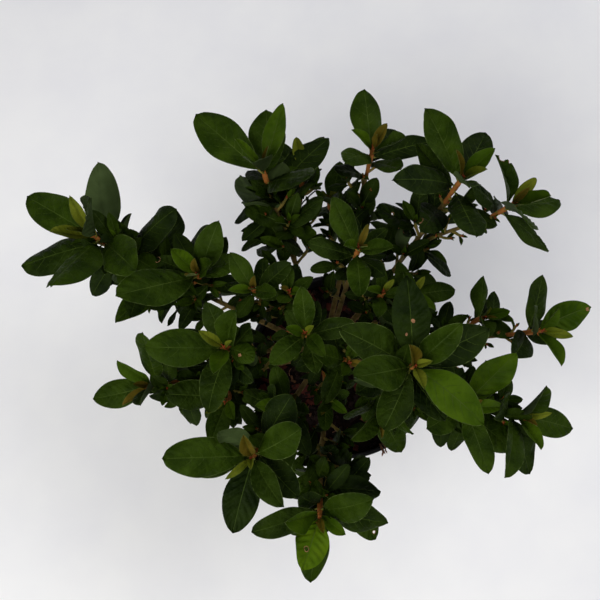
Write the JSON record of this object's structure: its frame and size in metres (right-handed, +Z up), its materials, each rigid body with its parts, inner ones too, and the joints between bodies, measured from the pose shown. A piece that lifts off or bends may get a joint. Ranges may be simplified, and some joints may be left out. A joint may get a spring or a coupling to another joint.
{
  "type": "potted azalea shrub",
  "caption": "Young evergreen azalea shrub in a tapered black nursery pot, with a short woody stem, slender boughs and rosettes of elliptical leaves.",
  "frame": {"origin": "centre of the pot's flat underside, on the surface that the pot stands on", "axes": "+Z up along the pot's axis, +X to the right and +Y to the back as the plant is seen from its front"},
  "size_m": [0.3836, 0.3253, 0.2907],
  "materials": {
    "pot": "black moulded plastic, satin",
    "compost": "moist bark compost, rough",
    "bark": "young grey-brown bark, matt",
    "foliage": "leathery evergreen leaves, slight gloss"
  },
  "bodies": {
    "root": {"pot": "pot", "compost": "compost", "stem": "bark", "bough_left": "bark", "foliage_left": "foliage", "bough_back_left": "bark", "foliage_back_left": "foliage", "bough_back": "bark", "foliage_back": "foliage", "bough_back_right": "bark", "foliage_back_right": "foliage", "bough_right": "bark", "foliage_right": "foliage", "bough_front_right": "bark", "foliage_front_right": "foliage", "bough_front": "bark", "foliage_front": "foliage", "bough_front_left": "bark", "foliage_front_left": "foliage", "bough_left_front": "bark", "foliage_left_front": "foliage", "bough_middle_left": "bark", "foliage_middle_left": "foliage", "bough_middle_right": "bark", "foliage_middle_right": "foliage", "bough_middle_back": "bark", "foliage_middle_back": "foliage", "bough_middle_back_right": "bark", "foliage_middle_back_right": "foliage", "bough_middle_back_left": "bark", "foliage_middle_back_left": "foliage", "bough_middle_front": "bark", "foliage_middle_front": "foliage"}
  },
  "joints": []
}
